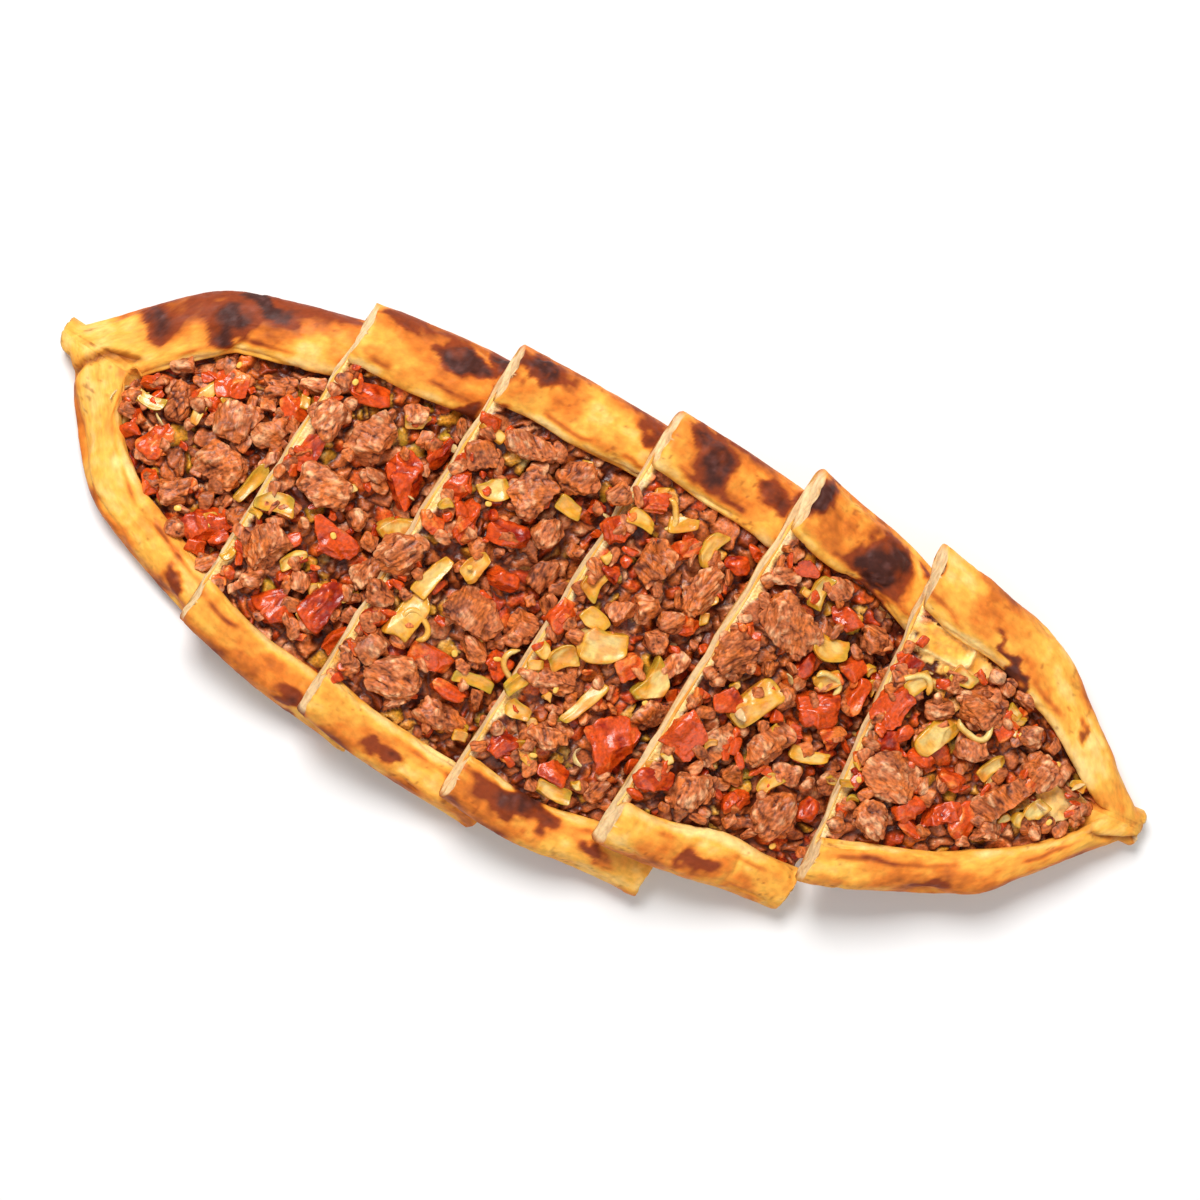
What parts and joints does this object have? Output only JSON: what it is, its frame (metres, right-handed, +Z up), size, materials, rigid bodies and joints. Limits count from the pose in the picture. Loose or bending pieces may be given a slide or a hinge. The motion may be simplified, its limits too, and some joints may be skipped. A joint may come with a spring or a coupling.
{
  "type": "turkish pide",
  "caption": "Boat-shaped flatbread with folded rims and a diced meat, tomato and pepper filling, cut across into slices that lean on one another like shingles.",
  "frame": {"origin": "middle of the bottom of the whole bread's box, on the surface it lies on", "axes": "+X along the bread, from the flat first slice to the last slice; +Y across it; +Z up"},
  "size_m": [0.3606, 0.1436, 0.0335],
  "materials": {
    "dough": "baked crust, matte",
    "filling": "oily sauce, soft gloss",
    "meat": "roasted meat, moist",
    "tomato": "cooked tomato, glossy",
    "pepper": "cooked pepper, satin"
  },
  "bodies": {
    "root": {"dough_1": "dough", "dough_2": "dough", "dough_3": "dough", "dough_4": "dough", "dough_5": "dough", "dough_6": "dough", "filling_1": "filling", "filling_2": "filling", "filling_3": "filling", "filling_4": "filling", "filling_5": "filling", "filling_6": "filling", "meat_1a": "meat", "meat_1b": "meat", "meat_1c": "meat", "meat_1d": "meat", "meat_1e": "meat", "meat_2a": "meat", "meat_2b": "meat", "meat_2c": "meat", "meat_2d": "meat", "meat_3a": "meat", "meat_3b": "meat", "meat_3c": "meat", "meat_3d": "meat", "meat_3e": "meat", "meat_3f": "meat", "meat_4a": "meat", "meat_4b": "meat", "meat_4c": "meat", "meat_4d": "meat", "meat_5a": "meat", "meat_5b": "meat", "meat_5c": "meat", "meat_5d": "meat", "meat_5e": "meat", "meat_6a": "meat", "meat_6b": "meat", "meat_6c": "meat", "meat_6d": "meat", "meat_6e": "meat", "pepper_2a": "pepper", "pepper_3a": "pepper", "pepper_4a": "pepper", "pepper_4b": "pepper", "pepper_5a": "pepper", "pepper_6a": "pepper", "tomato_1a": "tomato", "tomato_1b": "tomato", "tomato_1c": "tomato", "tomato_2a": "tomato", "tomato_2b": "tomato", "tomato_2c": "tomato", "tomato_3a": "tomato", "tomato_4a": "tomato", "tomato_4b": "tomato", "tomato_5a": "tomato", "tomato_5b": "tomato", "tomato_6a": "tomato", "tomato_6b": "tomato"}
  },
  "joints": []
}
